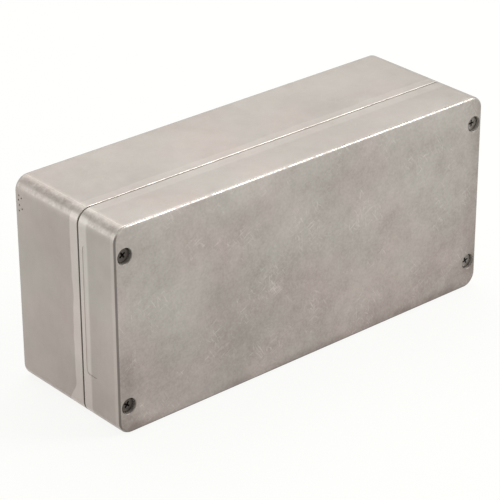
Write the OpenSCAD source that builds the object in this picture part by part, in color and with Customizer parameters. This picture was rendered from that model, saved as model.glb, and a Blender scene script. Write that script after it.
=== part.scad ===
// Die cast aluminium box: a base and a deep lid with a seal between them,
// four captive lid screws and an earth terminal inside.
// It stands on a long narrow side: X is its length, Z is up, the lid faces -Y.

/* [Box] */
// Length of the box
box_w = 175; // [120:1:220]
// Height of the box as it stands
box_h = 80; // [72:1:120]
// Depth of the closed box
box_d = 57; // [48:1:90]
// Depth of the lid, from its face to the seam
lid_d = 20.5; // [18:0.5:24]
// Radius of the four edges that run from front to back
corner_r = 5.5; // [4:0.5:8]
// Rounding round the lid's face
face_r = 1.2; // [0.5:0.1:2]
// Rounding round the back face
rear_r = 1.6; // [0.5:0.1:2.5]
// Rounding of the lid's rim at the seam
rim_r = 0.25; // [0.1:0.05:0.4]
// Chamfer of the base's rim at the seam
rim_chamfer = 0.15; // [0.1:0.05:0.5]
// Height of the gap that shows round the seam
seam_gap = 0.55; // [0.2:0.05:0.8]
// How far the gap reaches in from the outside
seam_gap_in = 1; // [0.6:0.1:1.4]

/* [Walls] */
// Thickness of the lid's face and the back
plate_t = 3.2; // [2.5:0.1:4]
// Side wall of the base
base_wall = 4; // [3.8:0.1:5]
// Side wall of the lid, which holds the seal's groove
lid_wall = 6; // [5.6:0.1:8]
// Radius where walls meet a floor inside
floor_r = 1.5; // [0.5:0.1:2]

/* [Seal] */
// Outside of the box to the outer edge of the groove
seal_in = 2; // [1.8:0.1:2.4]
// Bend radius of the seal's middle line
seal_bend = 4; // [3.2:0.2:5]
// Width of the groove
groove_w = 2.6; // [2.2:0.1:3]
// Depth of the groove
groove_d = 3; // [2.5:0.1:4]
// Gap between the gasket and each side of its groove
gasket_fit = 0.05; // [0.02:0.01:0.1]
// Width of the tongue on the base
tongue_w = 1.4; // [1:0.1:1.6]
// Height of the tongue
tongue_h = 1; // [0.6:0.1:1.4]
// Metal left between the groove and a screw's pocket
pocket_web = 1.2; // [1:0.1:2]

/* [Lid screws] */
// Screw axis to the short side
screw_in_x = 4.3; // [4.2:0.1:6]
// Screw axis to the long side
screw_in_z = 11; // [10.8:0.1:14]
// Diameter of the sunk hole in the lid's face
sink_bore = 6; // [5.6:0.1:6.2]
// Depth of the screw head below the lid's face
head_sink = 1.4; // [1:0.1:3.5]
// Chamfer round the mouth of the sunk hole
sink_chamfer = 0.2; // [0.1:0.05:0.5]
// Diameter of the head
head_dia = 5.6; // [5.2:0.1:5.8]
// Height of the head
head_h = 2.8; // [2:0.1:3]
// Thread size
thread_dia = 4; // [3:0.5:4]
// Thread pitch
thread_pitch = 0.7; // [0.5:0.1:0.8]
// Turns that free the screw from the base
free_turns = 12; // [10:1:12]
// Length of thread held in the base
engaged = 8; // [6:0.5:8]
// Plain hole in the lid
lid_bore = 4.4; // [4.2:0.1:4.6]
// Radial running clearance of turning pieces
running = 0.05; // [0.02:0.01:0.09]

/* [Retaining rings] */
// Outer diameter of the ring
ring_dia = 5.8; // [5.4:0.1:6]
// Thickness of the ring
ring_t = 1; // [0.8:0.1:1.2]
// Diameter of the groove in the screw
ring_seat = 3; // [2.6:0.1:3.2]
// Diameter of the pocket in the lid
pocket_bore = 6.2; // [6:0.1:6.4]

/* [Marks of the casting die] */
// Length of the shallow panel on each end of the lid
panel_l = 50; // [30:1:56]
// Width of the panel
panel_w = 6.4; // [4:0.2:8]
// Corner radius of the panel
panel_r = 1.6; // [1:0.2:2]
// How far the panel is sunk
panel_sunk = 0.15; // [0.1:0.05:0.3]
// Panel's middle above the middle of the box
panel_up = 3; // [0:1:5]
// Panel's edge to the seam
panel_in = 2.5; // [1.5:0.1:4]
// Diameter of the marks that the ejector pins leave inside
pin_dia = 6; // [4:0.5:8]
// How far the marks are sunk
pin_sunk = 0.2; // [0.1:0.05:0.4]
// Distance between the rows of marks
pin_rows = 44; // [30:1:46]
// Distance between neighbouring marks in a row
pin_step = 35; // [25:1:36]
// Diameter of the small pits on the left end
pit_dia = 0.7; // [0.4:0.1:0.8]
// Depth of the pits
pit_depth = 0.3; // [0.1:0.1:0.4]

/* [Wall mounting holes] */
// Hole's axis to the short side
mount_in_x = 6; // [5.6:0.1:8]
// Hole's axis to the long side
mount_in_z = 5; // [4.8:0.1:5.2]
// Diameter of the holes
mount_bore = 4.5; // [4:0.1:5]
// Diameter of the channel for the screw's head
mount_channel = 7.2; // [6.6:0.1:7.4]
// Metal under the head
mount_floor = 6; // [4:0.5:10]

/* [Inner bosses] */
// Spacing of the plate bosses along the box
plate_w = 130; // [60:1:140]
// Spacing of the plate bosses across the box
plate_h = 48; // [30:1:56]
// Spacing of the two rail bosses
rail_w = 100; // [40:1:120]
// Height of the bosses
boss_h = 6; // [4:0.5:10]
// Diameter of a boss at its top
boss_dia = 8; // [7:0.1:10]
// Draft of bosses, added to the radius at the foot
boss_draft = 0.4; // [0.1:0.1:0.8]
// Tapping hole in a boss
boss_bore = 3.3; // [2.5:0.1:3.4]
// Depth of the tapping hole
boss_bore_d = 7.5; // [6:0.5:8.5]

/* [Earth terminal] */
// Diameter of the earth boss
earth_dia = 10; // [9:0.5:12]
// Height of the earth boss
earth_h = 5; // [4:0.5:8]
// Gap between the earth boss's axis and the end wall
earth_in = 6.4; // [6:0.1:8]
// Thread of the earth screw
earth_thread = 4; // [3:0.5:4]
// Length of the earth screw under its head
earth_l = 8; // [7:0.5:9]
// Diameter of the earth screw's head
earth_head = 8; // [7:0.1:8.4]
// Height of the earth screw's head
earth_head_h = 2.8; // [2.2:0.1:3.2]
// Side of the square clamp washer
clamp_w = 9; // [8:0.1:9.4]
// Thickness of the clamp washer
clamp_t = 1; // [0.8:0.1:1.4]
// Thickness of the lock washer
lock_t = 1; // [0.8:0.1:1.2]
// Outer diameter of the lock washer
lock_dia = 7.4; // [7:0.1:7.8]

/* [Hidden] */
$fn = 64;

cast_colour = [0.72, 0.70, 0.68];
steel_colour = [0.55, 0.55, 0.56];
rubber_colour = [0.12, 0.12, 0.12];
nylon_colour = [0.86, 0.85, 0.80];

// Depths are measured from the lid's face towards the back.
seam = lid_d;
back = box_d;
base_floor = back - plate_t;
seat = head_sink + head_h;
travel = free_turns * thread_pitch;
ring_play = 0.1;
ring_front = seam - 0.5 - ring_t;
pocket_front = ring_front - travel - ring_play;
screw_tip = seam + engaged;
thread_bore = thread_dia + 2 * running;
thread_bore_d = engaged + 1.5;

screw_x = box_w / 2 - screw_in_x;
screw_z = box_h / 2 - screw_in_z;
mount_x = box_w / 2 - mount_in_x;
mount_z = box_h / 2 - mount_in_z;
// The seal runs round the outside of the box, and inside the screws and holes at each corner.
seal_mid = seal_in + groove_w / 2;
hole_reach = max(pocket_bore / 2, mount_channel / 2 + mount_in_x - screw_in_x);
corner_x = screw_in_x + hole_reach + pocket_web + groove_w / 2;
corner_z = screw_in_z + pocket_bore / 2 + pocket_web + groove_w / 2;

earth_x = -(box_w / 2 - base_wall - earth_in);
earth_seat = base_floor - earth_h;

function corners() = [[-1, -1], [1, -1], [-1, 1], [1, 1]];

// Turns a piece drawn with its depth along Z so that its depth runs to the back.
module in_box() {
    translate([0, -box_d / 2, box_h / 2]) rotate([-90, 0, 0]) children();
}

module at_depth(depth) {
    translate([0, 0, depth]) children();
}

// ---- rounded castings ----

// What a rounding of radius r, or a chamfer r wide, takes off a profile's corner at the origin.
module edge_cut(r, flat = false) {
    if (flat)
        polygon([[-r - 1, -1], [1, -1], [1, r + 1]]);
    else
        difference() {
            translate([-r, -1]) square([r + 1, r + 1]);
            translate([-r, r]) circle(r);
        }
}

module half_profile(reach, depth, front, rear, flat) {
    difference() {
        square([reach, depth]);
        translate([reach, 0]) edge_cut(front, flat);
        translate([reach, depth]) mirror([0, 1]) edge_cut(rear);
    }
}

module full_profile(reach, depth, front, rear, flat) {
    half_profile(reach, depth, front, rear, flat);
    mirror([1, 0]) half_profile(reach, depth, front, rear, flat);
}

// A block with corners of radius r. Its front and rear edges are rounded, or the front is flat.
module slab(w, h, depth, r, front, rear, flat = false) {
    for (c = corners())
        translate([c.x * (w / 2 - r), c.y * (h / 2 - r), 0])
            rotate_extrude() half_profile(r, depth, front, rear, flat);
    rotate([90, 0, 0]) linear_extrude(h - 2 * r, center = true)
        full_profile(w / 2, depth, front, rear, flat);
    rotate([90, 0, 90]) linear_extrude(w - 2 * r, center = true)
        full_profile(h / 2, depth, front, rear, flat);
}

module rounded_rect(w, h, r) {
    square([w - 2 * r, h], center = true);
    square([w, h - 2 * r], center = true);
    for (c = corners())
        translate([c.x * (w / 2 - r), c.y * (h / 2 - r)]) circle(r);
}

// What fills an inside corner at the origin with radius r.
module inside_fillet(r) {
    lap = 0.2;
    difference() {
        translate([-lap, -lap]) square(r + lap);
        translate([r, r]) circle(r);
    }
}

// The area inside the seal's middle line, grown outwards by the given amount.
module seal_area(grow) {
    rounded_rect(box_w - 2 * (seal_mid - grow), box_h - 2 * (corner_z - grow), seal_bend + grow);
    rounded_rect(box_w - 2 * (corner_x - grow), box_h - 2 * (seal_mid - grow), seal_bend + grow);
    for (c = corners())
        translate([c.x * (box_w / 2 - corner_x + grow), c.y * (box_h / 2 - corner_z + grow)])
            scale([c.x, c.y]) inside_fillet(seal_bend - grow);
}

module seal_ring(w, depth) {
    linear_extrude(depth) difference() {
        seal_area(w / 2);
        seal_area(-w / 2);
    }
}

// The hollow of one casting between two depths: its walls follow the seal at the given
// distance, which leaves a column in each corner, and the floor's edges are rounded.
module cavity(wall, from, to, front, rear) {
    at_depth(from) intersection() {
        slab(box_w - 2 * wall, box_h - 2 * wall, to - from, seal_bend, front, rear);
        linear_extrude(to - from) seal_area(seal_mid - wall);
    }
}

// ---- marks of the casting die ----

// The round marks on a floor at the given depth, sunk towards the outside.
module pin_marks(depth, from, to) {
    for (row = [-1, 1], step = [from:2:to])
        translate([step * pin_step / 2, row * pin_rows / 2, depth - pin_sunk])
            cylinder(d = pin_dia, h = 2 * pin_sunk);
}

module end_panels() {
    for (side = [-1, 1])
        translate([side * box_w / 2, -panel_up, seam - panel_in - panel_w / 2])
            rotate([0, 90, 0]) linear_extrude(2 * panel_sunk, center = true)
                rounded_rect(panel_w, panel_l, panel_r);
}

module pits() {
    for (p = [[3.0, 6.4], [2.7, 8.2], [3.1, 10.1], [2.8, 12.3], [4.4, 7.1], [4.6, 11.2]])
        translate([-box_w / 2 - 1, p[1] - box_h / 2, back - p[0]])
            rotate([0, 90, 0]) cylinder(d = pit_dia, h = 1 + pit_depth);
}

// ---- base ----

module floor_boss(x, z, dia, height) {
    translate([x, z, base_floor - height])
        cylinder(d1 = dia, d2 = dia + 2 * boss_draft, h = height + 0.5);
}

module boss_places() {
    for (c = corners())
        translate([c.x * plate_w / 2, c.y * plate_h / 2, 0]) children();
    for (side = [-1, 1])
        translate([side * rail_w / 2, 0, 0]) children();
}

module earth_boss() {
    wall_x = -(box_w / 2 - base_wall + 0.5);
    floor_boss(earth_x, 0, earth_dia, earth_h);
    translate([wall_x, -earth_dia / 2, earth_seat])
        cube([earth_x - wall_x, earth_dia, earth_h + 0.5]);
}

module base_solid() {
    difference() {
        at_depth(seam) slab(box_w, box_h, back - seam, corner_r, rim_chamfer, rear_r, true);
        cavity(base_wall, seam - 2, base_floor, rim_r, floor_r);
    }
    boss_places() floor_boss(0, 0, boss_dia, boss_h);
    earth_boss();
    at_depth(seam - tongue_h) seal_ring(tongue_w, tongue_h + 1);
}

module base() {
    color(cast_colour) in_box() difference() {
        base_solid();
        for (c = corners()) {
            translate([c.x * screw_x, c.y * screw_z, seam - 1]) {
                cylinder(d = thread_bore, h = 1 + thread_bore_d);
                at_depth(1 + thread_bore_d) cylinder(d1 = thread_bore, d2 = 0, h = thread_bore / 4);
            }
            translate([c.x * mount_x, c.y * mount_z, 0]) {
                at_depth(seam - 1) cylinder(d = mount_bore, h = back - seam + 2);
                at_depth(seam - 1) cylinder(d = mount_channel, h = back - seam + 1 - mount_floor);
            }
        }
        boss_places() at_depth(base_floor - boss_h - 1) cylinder(d = boss_bore, h = boss_bore_d + 1);
        translate([earth_x, 0, earth_seat - 1]) cylinder(d = earth_thread + 2 * running, h = earth_l);
        pin_marks(base_floor, -2, 2);
        pits();
    }
}

// ---- lid ----

module lid_solid() {
    inner_w = box_w - 2 * seam_gap_in;
    inner_h = box_h - 2 * seam_gap_in;
    difference() {
        union() {
            slab(box_w, box_h, seam - seam_gap, corner_r, face_r, rim_r);
            at_depth(plate_t)
                slab(inner_w, inner_h, seam - plate_t, corner_r - seam_gap_in, rim_r, rim_r / 2);
        }
        cavity(lid_wall, plate_t, seam + 2, floor_r, rim_r);
    }
}

module lid() {
    color(cast_colour) in_box() difference() {
        lid_solid();
        at_depth(seam - groove_d) seal_ring(groove_w, groove_d + 1);
        for (c = corners()) {
            translate([c.x * screw_x, c.y * screw_z, 0]) {
                at_depth(-1) cylinder(d = sink_bore, h = seat + 1);
                at_depth(-1) cylinder(d1 = sink_bore + 2 * (sink_chamfer + 1), d2 = sink_bore,
                    h = sink_chamfer + 1);
                cylinder(d = lid_bore, h = seam + 1);
                at_depth(pocket_front) cylinder(d = pocket_bore, h = seam + 1 - pocket_front);
            }
        }
        pin_marks(plate_t, -3, 3);
        end_panels();
    }
}

// ---- gasket ----

module gasket() {
    full_t = 1.2;
    lip_t = groove_d - tongue_h - full_t;
    color(rubber_colour) in_box() at_depth(seam - groove_d) {
        seal_ring(groove_w - 2 * gasket_fit, full_t);
        at_depth(full_t) seal_ring(groove_w - 1, lip_t);
    }
}

// ---- lid screws and their retaining rings ----

// A cross recess sunk into a head at depth 0.
module cross_recess(wide, slot, depth) {
    for (turn = [0, 90])
        rotate(turn) translate([-wide / 2, -slot / 2, -1]) cube([wide, slot, depth + 1]);
    cylinder(d1 = wide * 0.62, d2 = 0.4, h = depth * 1.3);
}

module screw_profile() {
    tip = 0.6;
    head_edge = 0.4;
    polygon([
        [0, head_sink], [head_dia / 2 - head_edge, head_sink],
        [head_dia / 2, head_sink + head_edge], [head_dia / 2, seat],
        [thread_dia / 2, seat], [thread_dia / 2, ring_front - ring_play],
        [ring_seat / 2, ring_front - ring_play], [ring_seat / 2, ring_front + ring_t + ring_play],
        [thread_dia / 2, ring_front + ring_t + ring_play],
        [thread_dia / 2, screw_tip - tip], [thread_dia / 2 - tip, screw_tip], [0, screw_tip]
    ]);
}

module lid_screw(n) {
    c = corners()[n - 1];
    color(steel_colour) in_box() translate([c.x * screw_x, c.y * screw_z, 0]) difference() {
        rotate_extrude() screw_profile();
        rotate(20 + 35 * n) at_depth(head_sink) cross_recess(3.4, 0.9, 1.4);
    }
}

module retaining_ring(n) {
    c = corners()[n - 1];
    color(nylon_colour) in_box() translate([c.x * screw_x, c.y * screw_z, ring_front])
        difference() {
            cylinder(d = ring_dia, h = ring_t);
            at_depth(-1) cylinder(d = ring_seat + 2 * running, h = ring_t + 2);
        }
}

// ---- earth terminal ----

module at_earth() {
    in_box() translate([earth_x, 0, earth_seat]) children();
}

module earth_screw() {
    under = clamp_t + lock_t;
    edge = 0.5;
    tip = 0.6;
    r = earth_thread / 2;
    color(steel_colour) at_earth() difference() {
        rotate_extrude() polygon([
            [0, -under - earth_head_h], [earth_head / 2 - edge, -under - earth_head_h],
            [earth_head / 2, -under - earth_head_h + edge], [earth_head / 2, -under],
            [r, -under], [r, earth_l - under - 1.6 - tip], [r - tip, earth_l - under - 1.6],
            [0, earth_l - under - 1.6]
        ]);
        at_depth(-under - earth_head_h) cross_recess(4.6, 1.1, 1.7);
    }
}

module earth_clamp_washer() {
    rim = 1;
    color(steel_colour) at_earth() at_depth(-clamp_t) difference() {
        translate([-clamp_w / 2, -clamp_w / 2, 0]) cube([clamp_w, clamp_w, clamp_t]);
        at_depth(-rim) cylinder(d = earth_thread + 0.4, h = clamp_t + 2 * rim);
    }
}

module earth_lock_washer() {
    split = 0.7;
    color(steel_colour) at_earth() at_depth(-clamp_t - lock_t) difference() {
        cylinder(d = lock_dia, h = lock_t);
        at_depth(-1) cylinder(d = earth_thread + 0.3, h = lock_t + 2);
        rotate(-30) translate([0, -split / 2, -1]) cube([lock_dia, split, lock_t + 2]);
    }
}

base();
lid();
gasket();
lid_screw(1);  // lid_screw_1
lid_screw(2);  // lid_screw_2
lid_screw(3);  // lid_screw_3
lid_screw(4);  // lid_screw_4
retaining_ring(1);  // retaining_ring_1
retaining_ring(2);  // retaining_ring_2
retaining_ring(3);  // retaining_ring_3
retaining_ring(4);  // retaining_ring_4
earth_screw();
earth_clamp_washer();
earth_lock_washer();
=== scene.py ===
"""A sealed die cast aluminium box, closed and standing on a long narrow side.

The castings, gasket, rings and earth terminal are the frame's own solids with finishes
worked out in millimetres. The lid screws are drawn here, with their thread. Everything is in
metres: X along the box, Y from the lid to the back, Z up.
"""
import math

import bpy
from mathutils import Matrix, Vector


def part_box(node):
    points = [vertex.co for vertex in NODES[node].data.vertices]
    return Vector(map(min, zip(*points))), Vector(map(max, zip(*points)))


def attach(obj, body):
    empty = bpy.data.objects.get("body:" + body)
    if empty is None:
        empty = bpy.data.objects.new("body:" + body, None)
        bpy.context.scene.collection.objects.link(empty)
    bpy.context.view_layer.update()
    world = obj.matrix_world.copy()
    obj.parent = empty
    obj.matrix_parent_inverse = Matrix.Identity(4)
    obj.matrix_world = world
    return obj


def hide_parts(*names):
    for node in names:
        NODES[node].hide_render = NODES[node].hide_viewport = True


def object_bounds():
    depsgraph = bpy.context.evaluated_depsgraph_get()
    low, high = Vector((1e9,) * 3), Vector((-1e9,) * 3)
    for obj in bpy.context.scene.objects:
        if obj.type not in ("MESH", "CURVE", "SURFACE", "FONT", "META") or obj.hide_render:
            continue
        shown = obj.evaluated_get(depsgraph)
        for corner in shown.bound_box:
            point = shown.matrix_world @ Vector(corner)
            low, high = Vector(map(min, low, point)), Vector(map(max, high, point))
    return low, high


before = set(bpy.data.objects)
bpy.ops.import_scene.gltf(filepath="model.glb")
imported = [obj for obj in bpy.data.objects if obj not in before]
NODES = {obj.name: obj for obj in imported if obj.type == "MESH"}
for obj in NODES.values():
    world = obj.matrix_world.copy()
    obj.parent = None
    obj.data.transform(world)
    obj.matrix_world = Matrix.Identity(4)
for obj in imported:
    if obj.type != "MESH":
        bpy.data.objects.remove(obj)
cad_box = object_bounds()

MM = 0.001
LOW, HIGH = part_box("lid")
LID_FACE = LOW.y
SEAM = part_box("gasket")[1].y
CENTRE = (cad_box[0] + cad_box[1]) / 2
SCREW = sum(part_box("lid_screw_2"), Vector()) / 2 - CENTRE
SCREW_X, SCREW_Z = abs(SCREW.x), abs(SCREW.z)


# ---- small tools ----

def linear(code):
    """An sRGB hex colour as the linear values that a shader takes."""
    values = []
    for i in (0, 2, 4):
        c = int(code[i:i + 2], 16) / 255
        values.append(c / 12.92 if c <= 0.04045 else ((c + 0.055) / 1.055) ** 2.4)
    return (*values, 1.0)


def add(tree, kind, inputs=None, **settings):
    """Adds a node with its settings, and sets or links the named inputs."""
    node = tree.nodes.new(kind)
    for key, value in settings.items():
        setattr(node, key, value)
    for key, value in (inputs or {}).items():
        if isinstance(value, bpy.types.NodeSocket):
            tree.links.new(value, node.inputs[key])
        else:
            node.inputs[key].default_value = value
    return node


def per(mm):
    """Texture scale that gives features about this many millimetres wide."""
    return 1 / (mm * MM)


def new_material(name):
    mat = bpy.data.materials.new(name)
    mat.use_nodes = True
    mat.node_tree.nodes.clear()
    return mat, mat.node_tree


def finish_material(tree, shader):
    add(tree, "ShaderNodeOutputMaterial", {"Surface": shader.outputs[0]})


# ---- the cast metal ----

def cast_aluminium(name, is_lid):
    """Aluminium alloy, pressure die cast and tumbled: a dull, cloudy silver grey with a
    faint warm cast. The lid's face is grainier, with short light scratches, and the edges
    are rubbed smooth. The base has a band at the seam where its flash was ground off."""
    mat, tree = new_material(name)
    coordinates = add(tree, "ShaderNodeTexCoord")
    place, normal = coordinates.outputs["Object"], coordinates.outputs["Normal"]
    x, y, z = add(tree, "ShaderNodeSeparateXYZ", {0: place}).outputs
    nx, ny, nz = add(tree, "ShaderNodeSeparateXYZ", {0: normal}).outputs

    def do(operation, a, b=0.0, c=0.0):
        return add(tree, "ShaderNodeMath", {0: a, 1: b, 2: c}, operation=operation).outputs[0]

    def noise(size, detail, seed, stretch=(1, 1, 1), turn=(0, 0, 0)):
        """Soft noise round 0, with features about size millimetres across. It is turned
        and then stretched along its own axes."""
        moved = add(tree, "ShaderNodeMapping", {
            "Vector": place, "Location": (seed, seed * 0.7, -seed), "Rotation": turn,
            "Scale": stretch}, vector_type="TEXTURE")
        cloud = add(tree, "ShaderNodeTexNoise", {
            "Vector": moved.outputs[0], "Scale": per(size), "Detail": detail})
        return do("SUBTRACT", cloud.outputs[0], 0.5)

    def ramp(value, start, end, low=0.0, high=1.0):
        """A smooth step from low at start to high at end."""
        return add(tree, "ShaderNodeMapRange", {0: value, 1: start, 2: end, 3: low, 4: high},
                   interpolation_type="SMOOTHSTEP").outputs[0]

    def gather(*terms):
        """The sum of weight times value over the terms."""
        total = 0.0
        for weight, value in terms:
            total = do("MULTIPLY_ADD", value, weight, total)
        return total

    def scratches(width, length, *turns):
        """Light lines of this width and length, gathered in loose patches."""
        total = 0.0
        for i, turn in enumerate(turns):
            line = noise(width, 1, 0.3 + i, (length / width, 1, 1), turn)
            total = do("ADD", total, ramp(line, 0.15, 0.24))
        return do("MULTIPLY", total, ramp(noise(15, 2, 0.77), -0.03, 0.12))

    end_face = ramp(do("ABSOLUTE", nx), 0.6, 0.9)
    clouds = noise(34, 2, 0.31)
    mottle = noise(5, 4, 0.05)
    grain = noise(0.9, 2, 0.42)
    # Lightness is gathered round 0 and then moves the colour between a dark and a light grey.
    light = gather((0.45, clouds), (0.2, mottle), (0.05, noise(1.4, 1, 0.17, (1, 1, 8))),
                   (0.05, scratches(0.7, 9, (0.5, 0, 0.8), (-0.4, 0.3, 1.2))))
    if is_lid:
        face = ramp(ny, -0.6, -0.9)
        rubs = scratches(0.45, 5, (0, 0.6, 0), (0, 1.0, 0), (0, 1.5, 0), (0, -0.5, 0))
        specks = ramp(noise(0.5, 1, 0.21), 0.2, 0.3)
        # Painted shade on the lid's face: darker along its foot, at its +X end and low at its -X
        # end, broken up by noise.
        painted_face_shade = gather((1.0, ramp(z, 5 * MM, 1 * MM)),
                       (0.7, ramp(x, HIGH.x - 9 * MM, HIGH.x - 1 * MM)),
                       (0.8, do("MULTIPLY", ramp(x, LOW.x + 11 * MM, LOW.x + 4 * MM),
                                ramp(z, 42 * MM, 22 * MM))))
        # Painted shade too: the darker patch low on the face, towards its +X end.
        low_right = do("MULTIPLY", ramp(x, CENTRE.x + 25 * MM, HIGH.x - 30 * MM),
                       ramp(z, 20 * MM, 8 * MM))
        painted_face_shade = do("MULTIPLY_ADD", low_right, 0.4, painted_face_shade)
        painted_face_shade = do("MULTIPLY", painted_face_shade, ramp(noise(12, 3, 0.6), -0.2, 0.15, 0.3, 1.0))
        rough_face = gather((0.25, clouds), (0.2, mottle), (0.45, grain), (0.33, rubs),
                            (0.2, specks), (-0.35, painted_face_shade))
        light = do("MULTIPLY_ADD", rough_face, face, light)
        # Painted light: the lid's face is lighter towards its top edge.
        light = do("MULTIPLY_ADD", ramp(z, 66 * MM, 79 * MM), do("MULTIPLY", face, 0.12), light)
        # Painted light: front-facing faces lying more than 1 to 2 mm behind the lid's face are
        # lightened against the shade in these recesses.
        step = do("MULTIPLY", face, ramp(y, LID_FACE + 1 * MM, LID_FACE + 2 * MM))
        light = do("MULTIPLY_ADD", step, 0.9, light)
        across = do("SUBTRACT", do("ABSOLUTE", do("SUBTRACT", x, CENTRE.x)), SCREW_X)
        above = do("SUBTRACT", do("ABSOLUTE", do("SUBTRACT", z, CENTRE.z)), SCREW_Z)
        spread = add(tree, "ShaderNodeVectorMath", {0: add(
            tree, "ShaderNodeCombineXYZ", {0: across, 1: above}).outputs[0]},
            operation="LENGTH").outputs["Value"]
        # Painted light: the walls of the sunk screw holes are lightened against the shade inside
        # them.
        light = do("MULTIPLY_ADD", ramp(spread, 3.2 * MM, 3.1 * MM), 0.5, light)
        mouth = ramp(spread, 3.5 * MM, 3.4 * MM)
        rim = ramp(y, SEAM - 4.6 * MM, SEAM - 3.4 * MM)
        lip = ramp(y, LID_FACE + 2.6 * MM, LID_FACE + 2.0 * MM)
        rubbed = do("MULTIPLY_ADD", lip, 0.3, rim)
    else:
        reach = do("MULTIPLY_ADD", noise(16, 3, 0.2, (1, 50, 1)), 2.4 * MM, y)
        reach = do("ADD", reach, ramp(z, 12 * MM, 2 * MM, 0.0, -4 * MM))
        rubbed = ramp(reach, SEAM + 5.3 * MM, SEAM + 4.9 * MM)
    light = do("MULTIPLY_ADD", rubbed, ramp(end_face, 0.0, 1.0, 0.1, 0.38), light)
    # Painted shade: the box is a little darker towards its foot.
    light = do("ADD", light, ramp(z, 0, 50 * MM, -0.06, 0.0))
    # Painted shade and reflection: the upright edges between the end faces and the front and
    # back, and the level edges at the foot, are darkened as the shadowed floor would show in
    # them.
    dark_edge_shade = ramp(do("ABSOLUTE", do("MULTIPLY", nx, ny)), 0.3, 0.45)
    level_edge = ramp(do("ABSOLUTE", do("MULTIPLY", ny, nz)), 0.1, 0.4)
    foot_edge = do("MULTIPLY", level_edge, ramp(z, 6 * MM, 4 * MM))
    dark_edge_shade = do("MAXIMUM", dark_edge_shade, do("MULTIPLY", foot_edge, 0.8))
    # The long rounded corners are lighter, in short streaks, on their lower half and blotchy and
    # a little darker above it.
    slope = do("MULTIPLY", do("ABSOLUTE", nz), ramp(do("ABSOLUTE", nx), 0.1, 0.3))
    corner_blotch = noise(3, 3, 0.9)
    corner_streaks = gather((0.7, corner_blotch), (0.5, noise(0.8, 1, 0.3)))
    lighter_corner_half = do("MULTIPLY", ramp(slope, 0.25, 0.4), ramp(slope, 0.7, 0.55))
    light = do("MULTIPLY_ADD", lighter_corner_half, do("ADD", corner_streaks, 0.22), light)
    darker_corner_half = do("MULTIPLY", ramp(slope, 0.6, 0.75), ramp(slope, 0.97, 0.9))
    light = do("MULTIPLY_ADD", darker_corner_half, do("SUBTRACT", corner_streaks, 0.05), light)
    bright_edge = do("MULTIPLY", level_edge, ramp(z, 76 * MM, 78 * MM))
    if is_lid:
        bright_edge = do("MULTIPLY", bright_edge, ramp(y, SEAM - 9 * MM, SEAM - 10 * MM))
        # Painted shade: the rounded mouths of the screw holes are darkened where they would
        # catch a bright crescent of light.
        dark_edge_shade = do("MAXIMUM", dark_edge_shade, do("MULTIPLY", level_edge, mouth))
    else:
        bright_edge = do("MULTIPLY", bright_edge, 0.7)
    warmth = ramp(gather((3.5, noise(24, 2, 0.5)), (8.0, do("SUBTRACT", 30 * MM, z))), -0.7, 0.7)
    hue = add(tree, "ShaderNodeMix", {
        0: warmth, 6: linear("fafbfa"), 7: linear("fffafa")}, data_type="RGBA")
    grey = add(tree, "ShaderNodeMix", {
        0: do("ADD", light, 0.5), 6: linear("8c837d"), 7: linear("cdc7c1")}, data_type="RGBA")
    shade = add(tree, "ShaderNodeMix", {
        0: 1.0, 6: grey.outputs[2], 7: hue.outputs[2]}, data_type="RGBA", blend_type="MULTIPLY")
    # Painted shade: the edge mask moves the colour towards this dark grey.
    shade = add(tree, "ShaderNodeMix", {
        0: do("MULTIPLY", dark_edge_shade, 0.7), 6: shade.outputs[2], 7: linear("544e49")},
        data_type="RGBA")
    roughness = gather((0.12, mottle), (0.1, grain))
    roughness = do("ADD", roughness, 0.47)
    rubbed_smooth = gather((1.0, noise(1.1, 2, 0.6)), (0.8, noise(9, 2, 0.1)))
    rubbed_smooth = do("SUBTRACT", rubbed_smooth, 0.13)
    roughness = do("MULTIPLY_ADD", bright_edge, rubbed_smooth, roughness)
    bump = add(tree, "ShaderNodeBump", {
        "Height": gather((1.0, grain), (0.5, mottle)), "Strength": 0.15, "Distance": 0.1 * MM})
    shader = add(tree, "ShaderNodeBsdfPrincipled", {
        "Base Color": shade.outputs[2], "Metallic": 0.85, "Roughness": roughness,
        "Normal": bump.outputs[0]})
    finish_material(tree, shader)
    return mat


def turned_steel(name, dark, light, roughness):
    """Machined steel: blotches a few millimetres wide and fine turning marks that follow
    the depth of the screw."""
    mat, tree = new_material(name)
    place = add(tree, "ShaderNodeTexCoord").outputs["Object"]
    blotch = add(tree, "ShaderNodeTexNoise", {"Vector": place, "Scale": per(1.8), "Detail": 4.0})
    lathe = add(tree, "ShaderNodeMapping", {"Vector": place, "Scale": (0.1, 1, 0.1)})
    marks = add(tree, "ShaderNodeTexNoise", {
        "Vector": lathe.outputs[0], "Scale": per(0.12), "Detail": 2.0})
    shade = add(tree, "ShaderNodeMix", {
        0: blotch.outputs[0], 6: linear(dark), 7: linear(light)}, data_type="RGBA")
    sheen = add(tree, "ShaderNodeMapRange", {
        0: blotch.outputs[0], 1: 0.3, 2: 0.7, 3: roughness - 0.1, 4: roughness + 0.1})
    bump = add(tree, "ShaderNodeBump", {
        "Height": marks.outputs[0], "Strength": 0.3, "Distance": 0.02 * MM})
    shader = add(tree, "ShaderNodeBsdfPrincipled", {
        "Base Color": shade.outputs[2], "Metallic": 1.0, "Roughness": sheen.outputs[0],
        "Normal": bump.outputs[0]})
    finish_material(tree, shader)
    return mat


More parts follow.
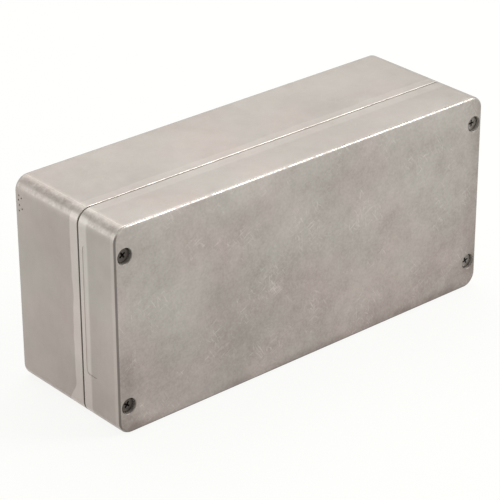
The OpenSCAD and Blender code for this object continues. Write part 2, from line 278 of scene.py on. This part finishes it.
def moulded(name, dark, light, roughness, grain):
    """A moulded rubber or plastic: almost even in colour, with a fine dull grain."""
    mat, tree = new_material(name)
    place = add(tree, "ShaderNodeTexCoord").outputs["Object"]
    cloud = add(tree, "ShaderNodeTexNoise", {"Vector": place, "Scale": per(6), "Detail": 5.0})
    fine = add(tree, "ShaderNodeTexNoise", {"Vector": place, "Scale": per(grain), "Detail": 2.0})
    shade = add(tree, "ShaderNodeMix", {
        0: cloud.outputs[0], 6: linear(dark), 7: linear(light)}, data_type="RGBA")
    sheen = add(tree, "ShaderNodeMapRange", {
        0: cloud.outputs[0], 1: 0.3, 2: 0.7, 3: roughness - 0.08, 4: roughness + 0.08})
    bump = add(tree, "ShaderNodeBump", {
        "Height": fine.outputs[0], "Strength": 0.4, "Distance": 0.03 * MM})
    shader = add(tree, "ShaderNodeBsdfPrincipled", {
        "Base Color": shade.outputs[2], "Roughness": sheen.outputs[0],
        "Normal": bump.outputs[0]})
    finish_material(tree, shader)
    return mat


def dress(piece, finish):
    piece.data.materials.clear()
    piece.data.materials.append(finish)


base_metal = cast_aluminium("die_cast_aluminium_base", False)
lid_metal = cast_aluminium("die_cast_aluminium_lid", True)
# Lit and shaded copies of one steel: the two lid screws at -X are painted darker and the two at
# +X lighter, as painted shade and light.
shaded_steel = turned_steel("shaded_steel_screws", "4c4742", "68625d", 0.45)
lit_steel = turned_steel("lit_steel_screws", "817c77", "99948f", 0.5)
# Bright zinc plating: the lightest and smoothest of the metals.
zinc_steel = turned_steel("zinc_plated_steel", "a9a9a4", "c6c7c6", 0.32)
# Near-black rubber with a dull grain, and milky nylon with a slight gloss.
seal_rubber = moulded("moulded_rubber_seal", "181819", "242425", 0.62, 0.3)
ring_nylon = moulded("nylon_rings", "dbd6c8", "e6e2d6", 0.45, 0.5)

for node, finish in (("base", base_metal), ("lid", lid_metal), ("gasket", seal_rubber),
                     ("earth_screw", zinc_steel), ("earth_clamp_washer", zinc_steel),
                     ("earth_lock_washer", zinc_steel)):
    dress(NODES[node], finish)
for n in range(1, 5):
    dress(NODES[f"retaining_ring_{n}"], ring_nylon)


# ---- lid screws ----
# Each is drawn on the Z axis, its head's top at 0 and its tip at SCREW_L, and then laid
# into its own place.

SCREW_LOW, SCREW_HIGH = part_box("lid_screw_1")
RING_LOW, RING_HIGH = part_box("retaining_ring_1")
SCREW_L = SCREW_HIGH.y - SCREW_LOW.y
HEAD_R = (SCREW_HIGH.x - SCREW_LOW.x) / 2
# The head stands a hair clear of its seat, so that the two surfaces never cut each other.
HEAD_H = 2.78 * MM
HEAD_EDGE = 0.4 * MM
SHANK_R = 2.0 * MM
NECK_R = 1.5 * MM
NECK_FROM = RING_LOW.y - SCREW_LOW.y - 0.1 * MM
NECK_TO = RING_HIGH.y - SCREW_LOW.y + 0.1 * MM
CORE_R = 1.57 * MM
PITCH = 0.7 * MM
TIP = 0.6 * MM
RECESS_W = 3.4 * MM
RECESS_SLOT = 0.9 * MM
RECESS_D = 1.4 * MM


def begin(make, **settings):
    """Deselects everything and adds a primitive."""
    bpy.ops.object.select_all(action="DESELECT")
    make(**settings)
    return bpy.context.object


def edit(piece, kind, test):
    """Goes into edit mode with the faces or edges selected whose middle passes the test."""
    bpy.ops.object.mode_set(mode="EDIT")
    bpy.ops.mesh.select_mode(type=kind)
    bpy.ops.mesh.select_all(action="DESELECT")
    bpy.ops.object.mode_set(mode="OBJECT")
    points = piece.data.vertices
    for part in piece.data.polygons if kind == "FACE" else piece.data.edges:
        middle = sum((points[i].co for i in part.vertices), Vector()) / len(part.vertices)
        part.select = test(middle)
    bpy.ops.object.mode_set(mode="EDIT")


def apply_modifier(piece, kind, **settings):
    bpy.context.view_layer.objects.active = piece
    modifier = piece.modifiers.new(kind.lower(), kind)
    for key, value in settings.items():
        setattr(modifier, key, value)
    bpy.ops.object.modifier_apply(modifier=modifier.name)


def screw_body():
    """Head, shank, neck for the ring and the thread's core, drawn out one from the other."""
    body = begin(bpy.ops.mesh.primitive_cylinder_add, vertices=64, radius=HEAD_R, depth=HEAD_H,
                 location=(0, 0, HEAD_H / 2))
    bpy.ops.object.transform_apply()
    edit(body, "FACE", lambda middle: middle.z > HEAD_H * 0.99)
    radius, depth = HEAD_R, HEAD_H
    for next_radius, next_depth in ((SHANK_R, NECK_FROM), (NECK_R, NECK_TO),
                                    (CORE_R, SCREW_L - TIP)):
        bpy.ops.mesh.extrude_region_move(TRANSFORM_OT_translate={"value": (0, 0, 0)})
        bpy.ops.transform.resize(value=(next_radius / radius, next_radius / radius, 1))
        bpy.ops.mesh.extrude_region_move(
            TRANSFORM_OT_translate={"value": (0, 0, next_depth - depth)})
        radius, depth = next_radius, next_depth
    bpy.ops.mesh.extrude_region_move(TRANSFORM_OT_translate={"value": (0, 0, TIP)})
    bpy.ops.transform.resize(value=(0.8, 0.8, 1))
    edit(body, "EDGE", lambda middle: middle.z < HEAD_H * 0.01
         and math.hypot(middle.x, middle.y) > HEAD_R * 0.9)
    bpy.ops.mesh.bevel(offset=HEAD_EDGE, segments=4, affect="EDGES")
    bpy.ops.object.mode_set(mode="OBJECT")
    return body


def cross_cutter():
    """Two crossed blades that narrow towards the bottom of the recess."""
    blades = []
    for turn in (0, math.pi / 2):
        blade = begin(bpy.ops.mesh.primitive_cube_add, size=1, location=(0, 0, 0),
                      rotation=(0, 0, turn), scale=(RECESS_W, RECESS_SLOT, 2 * RECESS_D))
        bpy.ops.object.transform_apply()
        edit(blade, "FACE", lambda middle: middle.z > RECESS_D * 0.9)
        bpy.ops.transform.resize(value=(0.6, 0.6, 1))
        bpy.ops.object.mode_set(mode="OBJECT")
        blades.append(blade)
    apply_modifier(blades[0], "BOOLEAN", object=blades[1], operation="UNION", solver="EXACT")
    bpy.data.objects.remove(blades[1])
    return blades[0]


def thread_ridge():
    """The thread's ridge: a four-sided section wound round the core. It rises out of the
    core at the neck and runs down into it at the tip."""
    start = NECK_TO + PITCH / 2
    ridge = begin(bpy.ops.mesh.primitive_plane_add, size=1, rotation=(math.pi / 2, 0, 0),
                  location=((SHANK_R + NECK_R) / 2, 0, start))
    ridge.scale = (SHANK_R - NECK_R, PITCH * 0.94, 1)
    bpy.ops.object.transform_apply()
    edit(ridge, "EDGE", lambda middle: middle.x > SHANK_R * 0.99)
    bpy.ops.transform.resize(value=(1, 1, 0.14))
    bpy.ops.object.mode_set(mode="OBJECT")
    turns = int((SCREW_L - start) / PITCH)
    apply_modifier(ridge, "SCREW", axis="Z", screw_offset=PITCH, iterations=turns, steps=32,
                   render_steps=32)
    for reach, shrink in ((0.9 * MM, 0.95), (0.7 * MM, 0.92), (0.5 * MM, 0.9)):
        edit(ridge, "FACE", lambda middle: middle.z > SCREW_L - reach)
        bpy.ops.transform.resize(value=(shrink, shrink, 1), center_override=(0, 0, 0))
        edit(ridge, "FACE", lambda middle: middle.z < NECK_TO + reach - 0.3 * MM)
        bpy.ops.transform.resize(value=(shrink, shrink, 1), center_override=(0, 0, 0))
    bpy.ops.mesh.select_all(action="SELECT")
    bpy.ops.mesh.fill_holes(sides=4)
    bpy.ops.object.mode_set(mode="OBJECT")
    return ridge


def lid_screws():
    body = screw_body()
    cutter = cross_cutter()
    apply_modifier(body, "BOOLEAN", object=cutter, operation="DIFFERENCE", solver="EXACT")
    bpy.data.objects.remove(cutter)
    ridge = thread_ridge()
    bpy.ops.object.select_all(action="DESELECT")
    ridge.select_set(True)
    body.select_set(True)
    bpy.context.view_layer.objects.active = body
    bpy.ops.object.join()
    bpy.ops.object.shade_smooth_by_angle(angle=math.radians(35))
    for n in range(1, 5):
        low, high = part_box(f"lid_screw_{n}")
        piece = body.copy()
        piece.data = body.data.copy()
        piece.name = f"threaded_lid_screw_{n}"
        bpy.context.scene.collection.objects.link(piece)
        bpy.ops.object.select_all(action="DESELECT")
        piece.select_set(True)
        bpy.context.view_layer.objects.active = piece
        piece.location = ((low.x + high.x) / 2, low.y, (low.z + high.z) / 2)
        piece.rotation_euler = (-math.pi / 2, math.radians(20 + 35 * n), 0)
        bpy.ops.object.transform_apply()
        # Painted light and shade: screws at +X get the lighter copy of the steel, those at -X
        # the darker one.
        dress(piece, lit_steel if low.x > 0 else shaded_steel)
        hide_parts(f"lid_screw_{n}")
        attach(piece, f"screw_{n}")
    bpy.data.objects.remove(body)


lid_screws()


# ---- floor, light and camera ----

# The camera sees this share of plain white, and the rest is the lit floor with its shadow.
CAMERA_WHITE = 0.88


def shown_white(tree, into_mirror):
    """CAMERA_WHITE for the camera, and the share into_mirror for reflections."""
    ray = add(tree, "ShaderNodeLightPath").outputs
    mirrored = add(tree, "ShaderNodeMath", {0: ray["Is Glossy Ray"],
                                            1: ray["Is Transmission Ray"]}, operation="ADD")
    share = add(tree, "ShaderNodeMath", {0: mirrored.outputs[0], 1: into_mirror},
                operation="MULTIPLY")
    return add(tree, "ShaderNodeMath", {
        0: ray["Is Camera Ray"], 1: CAMERA_WHITE, 2: share.outputs[0]},
        operation="MULTIPLY_ADD", use_clamp=True).outputs[0]


def studio_floor():
    bpy.ops.object.select_all(action="DESELECT")
    bpy.ops.mesh.primitive_plane_add(size=8)
    floor = bpy.context.object
    floor.name = "floor"
    mat, tree = new_material("pale_floor")
    paint = add(tree, "ShaderNodeBsdfDiffuse", {"Color": linear("f6f6f4")})
    white = add(tree, "ShaderNodeEmission", {"Color": linear("fffffd"), "Strength": 1.0})
    both = add(tree, "ShaderNodeMixShader", {0: shown_white(tree, 0.75), 1: paint.outputs[0],
                                             2: white.outputs[0]})
    finish_material(tree, both)
    floor.data.materials.append(mat)


def studio_world():
    world = bpy.data.worlds.new("studio")
    bpy.context.scene.world = world
    world.use_nodes = True
    tree = world.node_tree
    tree.nodes.clear()
    fill = add(tree, "ShaderNodeBackground", {"Color": linear("ffffff"), "Strength": 0.5})
    white = add(tree, "ShaderNodeBackground", {"Color": linear("fffffd"), "Strength": 1.0})
    both = add(tree, "ShaderNodeMixShader", {0: shown_white(tree, 0.9), 1: fill.outputs[0],
                                             2: white.outputs[0]})
    add(tree, "ShaderNodeOutputWorld", {"Surface": both.outputs[0]})


def soft_light(name, azimuth, elevation, distance, size, power):
    """An area light that faces the box. Azimuth 0 is in front of the lid and grows to +X."""
    a, e = math.radians(azimuth), math.radians(elevation)
    away = Vector((math.sin(a) * math.cos(e), -math.cos(a) * math.cos(e), math.sin(e)))
    lamp = bpy.data.lights.new(name, "AREA")
    lamp.shape = "RECTANGLE"
    lamp.size, lamp.size_y = size
    lamp.energy = power
    holder = bpy.data.objects.new(name, lamp)
    bpy.context.scene.collection.objects.link(holder)
    holder.location = CENTRE + away * distance
    holder.rotation_euler = away.to_track_quat("Z", "Y").to_euler()
    holder.visible_camera = False


def camera():
    """The view from the left front, a little above, through a long lens."""
    azimuth, elevation, roll = (math.radians(v) for v in (-40.75, 26.9, -0.158))
    back = Vector((math.sin(azimuth) * math.cos(elevation),
                   -math.cos(azimuth) * math.cos(elevation), math.sin(elevation)))
    level = Vector((0, 0, 1)).cross(back).normalized()
    upright = back.cross(level)
    right = level * math.cos(roll) + upright * math.sin(roll)
    up = upright * math.cos(roll) - level * math.sin(roll)
    data = bpy.data.cameras.new("camera")
    data.sensor_width = 36
    data.lens = 166.2
    data.clip_start, data.clip_end = 0.05, 50
    holder = bpy.data.objects.new("camera", data)
    bpy.context.scene.collection.objects.link(holder)
    turn = Matrix((right, up, back)).transposed().to_4x4()
    spot = CENTRE + back * 0.8515 - right * 0.00258 - up * 0.00638
    holder.matrix_world = Matrix.Translation(spot) @ turn
    bpy.context.scene.camera = holder


studio_floor()
studio_world()
soft_light("overhead_softbox", 150, 62, 1.5, (1.2, 1.0), 9)
soft_light("edge_strip", 52, 42, 1.5, (0.5, 0.9), 9.5)
soft_light("left_fill", -115, 10, 1.6, (1.2, 0.8), 4)
camera()
bpy.context.scene.view_settings.view_transform = "Standard"
